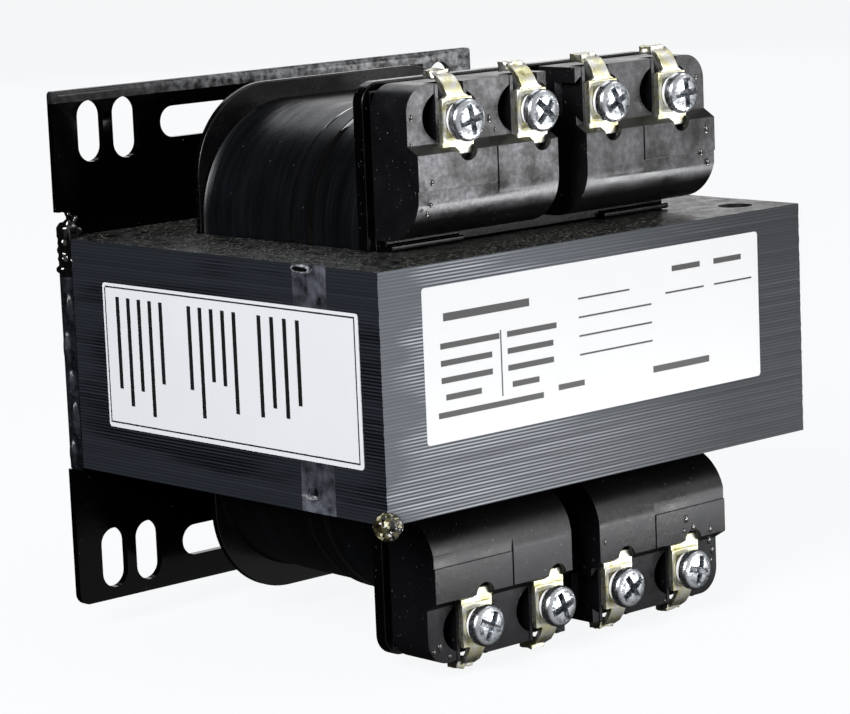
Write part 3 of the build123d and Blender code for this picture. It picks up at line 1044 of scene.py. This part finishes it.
@dataclass
class Terminals:
    """Plated tabs with a pressure plate, a stepped foot and a bent strip with a crimped end."""

    xs: tuple[float, ...] = TERMINAL_XS
    z: float = TERMINAL_Z
    tab_back: float = -87.7 * MM
    tab_t: float = 1.0 * MM
    clamp_t: float = 0.9 * MM
    tab_half: float = 4.0 * MM
    foot: float = 6.6 * MM
    foot_step: float = 0.22
    crown: float = 3.6 * MM
    shift: float = 0.6 * MM
    clamp_x: Pair = (-4.0 * MM, 3.6 * MM)
    clamp_half: float = 4.1 * MM
    crimp_low: Triple = (-2.3, -86.0, 55.6)
    crimp_high: Triple = (1.4, -82.8, 57.1)
    dents: int = 26
    ring: Triple = (0.9 * MM, 0.5 * MM, -0.35 * MM)
    edge: float = 0.16 * MM
    # Each bend of the strip: its run, rise and slide in mm, its width and its tilt in degrees.
    bends: tuple[tuple[float, float, float, float, float], ...] = (
        (0.0, 0.9, 0.0, 0.53, 15), (0.6, 1.6, -0.2, 1.0, 12), (0.9, 1.3, -0.2, 1.0, 18),
        (1.2, 0.8, -0.2, 1.0, 30), (1.2, 0.4, -0.1, 0.96, 12))
    seed: int = 21

    def build(self) -> None:
        """Makes the eight terminals."""
        for row in Row:
            for k, x in enumerate(self.xs):
                self.one(row, k, x)

    def one(self, row: Row, k: int, x: float) -> None:
        """One terminal.

        Args:
            row: upper or lower.
            k: its number in the row, from the left.
            x: its place along the row.
        """
        shake = random.Random(self.seed + 10 * row.value + k)
        name = f"terminal_{row.name.lower()}_{k + 1}"
        parts = [self.strip(x, shake), self.clamp(x), self.crimp(x, shake)]
        piece = join(parts, f"{name}_plated")
        if row is Row.LOWER:
            make_active(piece)
            bpy.ops.transform.mirror(constraint_axis=(False, False, True), center_override=(0, 0, 0))
        settle(piece)
        soften(piece, self.edge)
        deliver(piece, CHROMATE, Slot.CHROMATE, name)

    def strip(self, x: float, shake: random.Random) -> Piece:
        """Tab with its stepped foot, drawn out into the strip and its crumpled end.

        Args:
            x: the terminal's place along the row.
            shake: small differences between terminals.

        Returns:
            The new object.
        """
        back = self.tab_back
        middle = x + self.shift
        low = Vector((middle - self.tab_half, back - self.tab_t,
                      self.z - self.foot * (1 - self.foot_step)))
        high = Vector((middle + self.tab_half, back, self.z + self.crown))
        piece = box_piece("strip", low, high)
        with editing(piece, "FACE"):
            cut_across(piece, "X", [x - 0.2 * MM])
            pick_faces(piece, lambda at, out: out.z < -0.9 and at.x > x)
            bpy.ops.mesh.extrude_region_move(
                TRANSFORM_OT_translate={"value": (0, 0, -self.foot * self.foot_step)})
            pick_faces(piece, lambda at, out: out.z > 0.9)
            centre = Vector((middle, back - self.tab_t / 2, high.z))
            for run, rise, slide, width, tilt in self.bends:
                step = mm(slide + shake.uniform(-0.2, 0.2), run, rise)
                bpy.ops.mesh.extrude_region_move(TRANSFORM_OT_translate={"value": step})
                centre += step
                bpy.ops.transform.resize(value=(width, 1, 1), center_override=centre)
                bpy.ops.transform.rotate(value=math.radians(tilt), orient_axis="X",
                                         center_override=centre)
        return piece

    def crimp(self, x: float, shake: random.Random) -> Piece:
        """Crumpled barrel at the end of the strip, where the coil's lead is held.

        Args:
            x: the terminal's place along the row.
            shake: small differences between terminals.

        Returns:
            The new object.
        """
        along = Vector((x, 0, 0))
        piece = box_piece("crimp", mm(*self.crimp_low) + along, mm(*self.crimp_high) + along)
        with editing(piece):
            bpy.ops.mesh.select_all(action="SELECT")
            bpy.ops.mesh.subdivide(number_cuts=3)
            for _ in range(self.dents):
                spot = mm(shake.uniform(-2.4, 1.5), shake.uniform(-86.1, -82.7),
                          shake.uniform(55.6, 57.2)) + along
                push = mm(*[shake.uniform(-0.45, 0.45) for _ in range(3)])
                push.z = min(push.z, 0.2 * MM)
                press(piece, spot, push, 1.1 * MM, "LINEAR")
        return piece

    def clamp(self, x: float) -> Piece:
        """Square pressure plate with a raised ring under the screw.

        Args:
            x: the terminal's place along the row.

        Returns:
            The new object.
        """
        face_y = self.tab_back - self.tab_t
        low = Vector((x + self.clamp_x[0], face_y - self.clamp_t, self.z - self.clamp_half))
        high = Vector((x + self.clamp_x[1], face_y, self.z + self.clamp_half))
        piece = box_piece("clamp", low, high)
        with editing(piece, "FACE"):
            pick_faces(piece, lambda at, out: out.y < -0.9)
            rim, width, depth = self.ring
            bpy.ops.mesh.inset(thickness=rim, depth=0.0)
            bpy.ops.mesh.inset(thickness=width, depth=depth)
        return piece


@dataclass
class Screws:
    """Pan head screws with a cross recess over a spring washer."""

    xs: tuple[float, ...] = TERMINAL_XS
    z: float = TERMINAL_Z
    seat: float = -89.6 * MM
    head_r: float = 4.05 * MM
    lift: float = 1.5 * MM
    disc_t: float = 0.25 * MM
    # Inset and rise of each ring of the dome, in mm.
    dome: tuple[Pair, ...] = (
        (0.0, 0.85), (0.10, 0.35), (0.30, 0.34), (0.55, 0.28), (0.80, 0.18), (0.9, 0.08))
    recess: float = 3.6 * MM
    recess_half: float = 0.72 * MM
    recess_floor: float = 0.5 * MM
    recess_top: float = 2.6 * MM
    # Height above the seat, radius and thickness of each ring, in mm.
    washers: tuple[Triple, ...] = ((0.1, 3.25, 0.75), (0.95, 2.9, 0.6))
    turns: dict[Row, tuple[float, ...]] = field(default_factory=lambda: {
        Row.UPPER: (12, 48, 27, 5), Row.LOWER: (62, 18, 33, 74)})

    def build(self) -> None:
        """Makes the pattern screw once and copies it to the eight places."""
        pattern = self.pattern()
        for row in Row:
            for k, x in enumerate(self.xs):
                piece = pattern.copy()
                piece.data = pattern.data.copy()
                bpy.context.scene.collection.objects.link(piece)
                name = f"screw_{row.name.lower()}_{k + 1}"
                piece.name = f"{name}_zinc"
                turn = Matrix.Rotation(math.radians(self.turns[row][k]), 4, "Z")
                piece.matrix_world = Matrix.Translation(
                    (x, self.seat, row.value * self.z)) @ Matrix.Rotation(
                        math.pi / 2, 4, "X") @ turn
                settle(piece)
                smooth(piece, 32)
                deliver(piece, ZINC, Slot.ZINC, name)
        bpy.data.objects.remove(pattern)

    def pattern(self) -> Piece:
        """The screw on the Z axis, seated at zero.

        Returns:
            The new object.
        """
        head = self.head()
        for turn in (0, 90):
            cutter = self.blade(turn)
            apply_modifier(head, "BOOLEAN", operation="DIFFERENCE", object=cutter, solver="EXACT")
            bpy.data.objects.remove(cutter)
        floor, brim = self.lift + 0.3 * MM, self.lift + 2.25 * MM
        # The recess faces take the darker finish as painted shade.
        paint(head, (ZINC, RECESS_SHADE), lambda at, out: (
            RECESS_SHADE if at.xy.length < 2.95 * MM and floor < at.z < brim else ZINC))
        return join([head, *[self.washer(*ring) for ring in self.washers]], "screw_pattern")

    def head(self) -> Piece:
        """Pan head drawn up from a disc in rings that follow the dome.

        Returns:
            The new object.
        """
        piece = add_shape("head", bpy.ops.mesh.primitive_cylinder_add,
                          (0, 0, self.lift + self.disc_t / 2), vertices=48, radius=self.head_r,
                          depth=self.disc_t)
        with editing(piece, "FACE"):
            pick_faces(piece, lambda at, out: out.z < -0.9)
            bpy.ops.mesh.extrude_region_move()
            bpy.ops.transform.resize(value=(0.48, 0.48, 1), center_override=(0, 0, 0))
            bpy.ops.mesh.extrude_region_move(TRANSFORM_OT_translate={"value": (0, 0, -self.lift)})
            pick_faces(piece, lambda at, out: out.z > 0.9 and at.z > self.lift)
            height = self.lift + self.disc_t
            radius = self.head_r
            for inset, rise in self.dome:
                bpy.ops.mesh.extrude_region_move(
                    TRANSFORM_OT_translate={"value": (0, 0, rise * MM)})
                height += rise * MM
                target = radius - inset * MM
                bpy.ops.transform.resize(value=(target / radius, target / radius, 1),
                                         center_override=(0, 0, height))
                radius = target
        return piece

    def blade(self, turn: float) -> Piece:
        """One bar of the cross recess, tapering inwards.

        Args:
            turn: its turn about the screw's axis in degrees.

        Returns:
            The cutter.
        """
        floor = self.lift + self.recess_floor
        piece = box_piece("blade", Vector((-self.recess, -self.recess_half, floor)),
                          Vector((self.recess, self.recess_half, self.lift + self.recess_top)))
        with editing(piece, "FACE"):
            pick_faces(piece, lambda at, out: out.z < -0.9)
            bpy.ops.transform.resize(value=(0.28, 0.4, 1), center_override=(0, 0, floor))
        piece.rotation_euler = Euler((0, 0, math.radians(turn)))
        make_active(piece)
        bpy.ops.object.transform_apply(location=True, rotation=True, scale=True)
        return piece

    def washer(self, low: float, radius: float, height: float) -> Piece:
        """One ring under the head with a rounded rim.

        Args:
            low: its underside above the seat, in millimetres.
            radius: its outer radius in millimetres.
            height: its thickness in millimetres.

        Returns:
            The new object.
        """
        piece = add_shape("washer", bpy.ops.mesh.primitive_cylinder_add,
                          mm(0, 0, low + height / 2), vertices=40, radius=radius * MM,
                          depth=height * MM)
        with editing(piece, "FACE"):
            pick_faces(piece, lambda at, out: out.z > 0.9)
            bpy.ops.mesh.inset(thickness=0.35 * MM, depth=0.0)
            bpy.ops.mesh.inset(thickness=0.3 * MM, depth=-0.2 * MM)
        return piece


@dataclass
class Labels:
    """Two blank labels with generic bars where a label has its lines."""

    ink_t: float = 0.03 * MM
    corner: float = 0.7 * MM
    rim: float = 0.9 * MM
    line: float = 0.3 * MM
    column_w: float = 1.1 * MM
    column_top: float = 2.6 * MM
    # Place, length and height of each bar on the front label, in mm from its lower left corner.
    rows: tuple[tuple[float, float, float, float], ...] = (
        (5, 22.5, 22, 1.5), (4, 17.4, 15, 1.1), (4, 14.2, 13, 1.1), (4, 11.0, 13, 1.1),
        (5, 7.8, 9, 1.1), (21, 17.4, 13, 1.1), (21, 14.2, 12, 1.1), (21, 11.0, 12, 1.1),
        (22, 7.8, 7, 1.1), (3, 4.6, 27, 1.1), (40, 22.0, 14, 0.35), (40, 18.4, 20, 0.35),
        (40, 14.8, 20, 0.35), (40, 11.2, 20, 0.35), (66, 24.2, 8, 1.1), (78, 24.2, 8, 1.1),
        (64, 20.0, 11, 0.35), (78, 20.0, 11, 0.35), (60, 5.0, 16, 1.3), (34, 5.4, 7, 1.1),
        (19.2, 6.5, 0.3, 12.5))
    columns: tuple[float, ...] = (
        16.5, 20.2, 23.9, 27.6, 35.0, 38.4, 41.8, 45.2, 48.6, 57.4, 60.8, 64.2, 67.6, 71.0)
    seed: int = 3

    def build(self) -> None:
        """Makes both labels and their print."""
        self.film("front_label", "front_label_film")
        self.film("side_label", "side_label_film")
        self.front_bars()
        self.side_bars()

    def film(self, node: str, name: str) -> None:
        """One sheet of film with rounded corners.

        Args:
            node: the solid that it replaces.
            name: name of the new piece.
        """
        low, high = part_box(node)
        piece = box_piece(name, low, high)
        thin = 1 if high.y - low.y < high.x - low.x else 0
        with editing(piece, "EDGE"):
            pick_edges(piece, lambda one, two: abs((one - two)[thin]) > 0.5 * (one - two).length)
            bpy.ops.mesh.bevel(offset=self.corner, segments=4, affect="EDGES")
        deliver(piece, LABEL_FILM, Slot.LABEL, node)

    def front_bars(self) -> None:
        """Bars on the front label: rows of short lines and one divider."""
        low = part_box("front_label")[0]
        bars = [self.bar(low + mm(x, 0, z), mm(length, 0, height), FRONT)
                for x, z, length, height in self.rows]
        piece = join(bars, "front_label_bars")
        deliver(piece, LABEL_INK, Slot.LABEL)

    def side_bars(self) -> None:
        """A thin border and columns of short lines on the side label."""
        low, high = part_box("side_label")
        left = Vector((-1.0, 0.0, 0.0))
        y, z = low.y + self.rim, low.z + self.rim
        span = high - low
        wide = Vector((0, span.y - 2 * self.rim, self.line))
        tall = Vector((0, self.line, span.z - 2 * self.rim))
        bars = [self.bar(Vector((low.x, y, at)), wide, left) for at in (z, high.z - self.rim)]
        bars += [self.bar(Vector((low.x, at, z)), tall, left) for at in (y, high.y - self.rim)]
        shake = random.Random(self.seed)
        for column in self.columns:
            height = shake.uniform(14, 23) * MM
            at = Vector((low.x, low.y + column * MM, high.z - self.column_top - height))
            bars.append(self.bar(at, Vector((0, self.column_w, height)), left))
        piece = join(bars, "side_label_bars")
        deliver(piece, LABEL_INK, Slot.LABEL)

    def bar(self, corner: Vector, size: Vector, outwards: Vector) -> Piece:
        """One flat bar of ink standing a hair off the film.

        Args:
            corner: its lowest corner on the film.
            size: its size along the film.
            outwards: direction away from the film.

        Returns:
            The new object.
        """
        far = corner + size + outwards * self.ink_t
        low = Vector(map(min, corner, far))
        high = Vector(map(max, corner, far))
        piece = box_piece("bar", low, high)
        with editing(piece, "FACE"):
            pick_faces(piece, lambda at, out: out.dot(outwards) > 0.9)
            bpy.ops.mesh.inset(thickness=0.04 * MM, depth=0.0)
        return piece


@dataclass
class VarnishDrip:
    """Lump of set varnish that crept round the lower front corner."""

    pushes: int = 60
    share: float = 0.86
    seed: int = 5

    def build(self) -> None:
        """Makes the lump."""
        low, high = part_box("varnish_drip")
        centre = (low + high) / 2
        half = (high - low) / 2
        piece = add_shape("varnish_drip_set", bpy.ops.mesh.primitive_ico_sphere_add, centre,
                          half * self.share, subdivisions=5, radius=1.0)
        shake = random.Random(self.seed)
        with editing(piece):
            for _ in range(self.pushes):
                way = Vector([shake.gauss(0, 1) for _ in range(3)]).normalized()
                spot = centre + Vector([way[k] * half[k] * self.share for k in range(3)])
                push = way * shake.uniform(-1.0, 0.35) * MM
                press(piece, spot, push, shake.uniform(0.6, 1.5) * MM, "SHARP")
        smooth(piece, 25)
        deliver(piece, SET_VARNISH, Slot.VARNISH, "varnish_drip")


@dataclass
class VarnishBeads:
    """Small beads of varnish left on the mouldings after baking."""

    pocket: float = -87.5
    apron: float = -90.2
    on_pocket: tuple[Pair, ...] = (
        (-39.0, 49.0), (-19.2, 47.2), (-17.7, 45.0), (-39.3, 43.9), (37.9, 50.2), (-38.7, -52.1),
        (-34.7, -53.7), (38.9, -46.4), (24.6, -54.3), (38.5, -48.5), (38.1, -44.2), (-37.1, -51.5))
    on_apron: tuple[Pair, ...] = (
        (37.6, 39.9), (36.0, 35.5), (37.8, 33.3), (-36.8, 37.0), (-38.4, 31.4), (-37.3, 32.9),
        (30.6, -39.8), (28.6, -37.8), (35.6, -41.1), (5.3, -38.3), (27.9, -40.1))
    seed: int = 13

    def build(self) -> None:
        """Makes all beads as one piece, each half sunk in the face that it lies on."""
        shake = random.Random(self.seed)
        beads = []
        for y, places in ((self.pocket, self.on_pocket), (self.apron, self.on_apron)):
            for x, z in places:
                size = shake.uniform(0.38, 0.62)
                half = (size, size * 0.55, size * shake.uniform(1.0, 1.7))
                beads.append(droplet(mm(x, y, z), half))
        piece = join(beads, "varnish_beads")
        deliver(piece, BROWN_BEAD, Slot.VARNISH)


@dataclass
class Studio:
    """Camera, pale floor and soft lights."""

    azimuth: float = -42.25
    elevation: float = 9.36
    roll: float = 2.37
    place: Triple = (-0.44546, -0.53617, 0.10431)
    lens: float = 139.89
    floor_z: float = -0.0585
    floor_sides: Pair = (16.0, 16.0)
    card_place: Pair = (0.10, -0.19)
    card_sides: Pair = (0.2, 0.05)
    pale: str = "#F6F7F8"
    paper: str = "#4C4C4E"
    bright_wall: Triple = (0.3, -0.93, 0.2)
    aim: Triple = (0.0, -0.05, 0.0)
    # Name, place, side in metres, power in watts and tint of each light.
    lights: tuple[tuple[str, Triple, float, float, str], ...] = (
        ("key", (0.34, -0.66, 0.10), 0.26, 1.85, "#FFFDFA"),
        ("side", (-1.0, -0.45, 0.55), 0.5, 18.0, "#FBFCFF"),
        ("top", (0.35, 0.62, 0.80), 0.55, 1.8, "#F8FAFF"),
        ("upper", (0.62, -0.25, 0.78), 0.35, 0.9, "#FFFFFF"),
        ("band", (0.55, -0.60, 0.30), 0.14, 0.16, "#FBFAFF"),
        ("back", (0.95, 1.05, 0.36), 0.6, 1.6, "#FFFFFF"))

    def build(self) -> None:
        """Sets up the whole studio."""
        self.camera()
        self.floor()
        self.world()
        self.card()
        for light in self.lights:
            self.light(*light)

    def camera(self) -> None:
        """Camera at the photograph's place, with its slight roll."""
        turn = math.radians(-self.azimuth)
        tip = math.radians(self.elevation)
        roll = math.radians(self.roll)
        ahead = Vector((math.sin(turn) * math.cos(tip), math.cos(turn) * math.cos(tip),
                        -math.sin(tip)))
        level = ahead.cross(Vector((0, 0, 1))).normalized()
        above = level.cross(ahead)
        right = level * math.cos(roll) - above * math.sin(roll)
        up = level * math.sin(roll) + above * math.cos(roll)
        data = bpy.data.cameras.new("camera")
        data.lens = self.lens
        data.sensor_width = 36.0
        data.clip_start = 0.01
        view = bpy.data.objects.new("camera", data)
        bpy.context.scene.collection.objects.link(view)
        view.matrix_world = Matrix.Translation(self.place) @ Matrix(
            (right, up, -ahead)).transposed().to_4x4()
        bpy.context.scene.camera = view

    def sheet(self, name: str, place: Triple, sides: Pair, glow: Inputs) -> Piece:
        """A level sheet of glowing paper.

        Args:
            name: its name.
            place: its centre.
            sides: its width and depth.
            glow: the glow and its other shader values.

        Returns:
            The new object.
        """
        piece = add_shape(name, bpy.ops.mesh.primitive_plane_add, place, (*sides, 1), size=1)
        paper = Plain(f"{name}_paper", self.paper, self.paper, 1.0).material()
        fill(shader_of(paper), {"Emission Color": self.pale, **glow})
        piece.data.materials.append(paper)
        return piece

    def floor(self) -> None:
        """Plain pale floor under the part."""
        ground = self.sheet("floor", (0, 0, self.floor_z), self.floor_sides,
                            {"Emission Strength": 0.975, "Specular IOR Level": 0.0})
        # The paper is bright to the eye but stays out of the gloss of the black parts.
        ground.visible_glossy = False
        ground.visible_diffuse = False

    def card(self) -> None:
        """Bright card low in front: only the gloss of the rounded aprons sees it."""
        card = self.sheet("low_card", (*self.card_place, self.floor_z + MM), self.card_sides,
                          {"Emission Strength": 20.0})
        card.visible_camera = False
        card.visible_diffuse = False
        card.visible_shadow = False

    def world(self) -> None:
        """Pale surroundings to the eye and a dim room in reflections."""
        world = bpy.data.worlds.new("surroundings")
        world.use_nodes = True
        add = partial(add_node, world.node_tree)
        way = add("TexCoord", {}).node.outputs["Generated"]
        towards = add("VectorMath", {"operation": "DOT_PRODUCT", 0: way, 1: self.bright_wall})
        room = add("MapRange", {"interpolation_type": "SMOOTHSTEP", 0: towards, "From Min": -0.1,
                                "From Max": 0.8, "To Min": 0.015, "To Max": 0.55})
        seen = add("LightPath", {}).node.outputs["Is Camera Ray"]
        strength = add("Mix", {"data_type": "FLOAT", 0: seen, 2: room, 3: 1.0})
        fill(world.node_tree.nodes["Background"], {"Color": self.pale, "Strength": strength})
        bpy.context.scene.world = world

    def light(self, name: str, place: Triple, size: float, power: float,
              tint: str) -> None:
        """One soft square light aimed at the part.

        Args:
            name: its name.
            place: where it stands.
            size: side of its square.
            power: its power in watts.
            tint: its colour.
        """
        data = bpy.data.lights.new(name, "AREA")
        data.size = size
        data.energy = power
        data.color = linear(tint)[:3]
        lamp = bpy.data.objects.new(name, data)
        bpy.context.scene.collection.objects.link(lamp)
        lamp.location = place
        lamp.visible_camera = False
        ray = Vector(self.aim) - Vector(place)
        lamp.rotation_euler = ray.to_track_quat("-Z", "Y").to_euler()


def main() -> None:
    """Builds the part's looks and the studio in order."""
    logging.basicConfig(level=logging.INFO, format="%(name)s: %(message)s")
    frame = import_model()
    bpy.context.scene.view_settings.view_transform = "Standard"
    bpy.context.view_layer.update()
    nodes = frame["nodes"]
    for builder in (LaminatedCore(nodes), Welds(nodes), MountingPlate(nodes), Bobbin(nodes),
                    Coil(nodes), TerminalBlocks(nodes), Terminals(), Screws(), Labels(),
                    VarnishDrip(), VarnishBeads(), Studio()):
        LOG.info("building %s", type(builder).__name__)
        builder.build()


if __name__ == "__main__":
    main()
